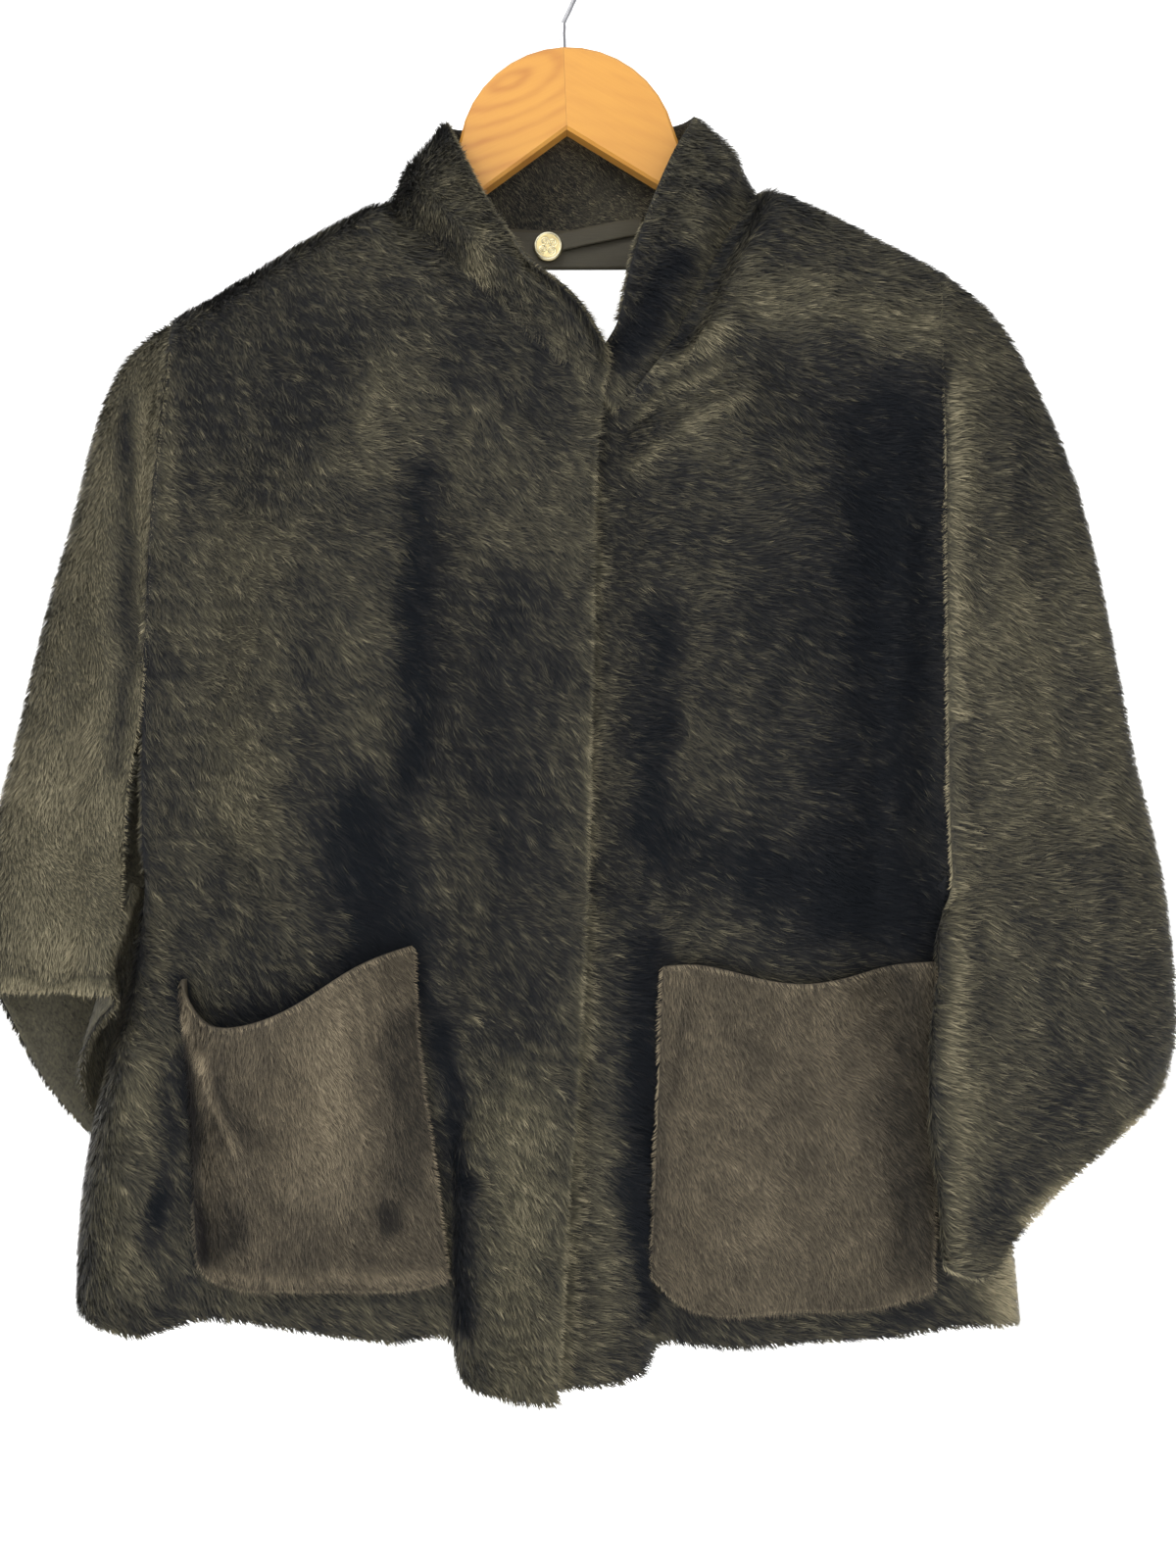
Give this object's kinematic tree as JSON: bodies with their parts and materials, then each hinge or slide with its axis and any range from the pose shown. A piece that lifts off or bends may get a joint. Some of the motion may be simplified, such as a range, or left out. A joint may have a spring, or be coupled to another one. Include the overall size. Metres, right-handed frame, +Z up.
{
  "type": "faux fur cape on a wooden hanger",
  "caption": "Short open-hemmed cape of dark faux fur with wide dropped sleeves, a stand collar and patch pockets, hung on a flat wooden hanger.",
  "frame": {"origin": "inside of the hook's crook, where it hangs on its rail", "axes": "+X to the viewer's right, -Y the way the fronts face, +Z up"},
  "size_m": [0.687, 0.1577, 0.8267],
  "materials": {
    "fur": "long pile faux fur, dark at the roots with grey-brown tips",
    "pocket_fur": "short smooth pile faux fur, grey-brown",
    "satin": "dark grey-brown satin",
    "tape": "plain white woven tape, blank",
    "gold": "pale gold, polished, with a raised rim",
    "wood": "light wood, satin varnish",
    "steel": "bright steel wire"
  },
  "bodies": {
    "root": {"back": "fur", "front_left": "fur", "front_right": "fur", "collar": "fur", "sleeve_left": "fur", "sleeve_right": "fur", "pocket_left": "pocket_fur", "pocket_right": "pocket_fur", "neck_facing": "satin", "neck_tab": "satin", "label": "tape", "button": "gold", "hanger_left": "wood", "hanger_right": "wood", "hook": "steel"}
  },
  "joints": []
}
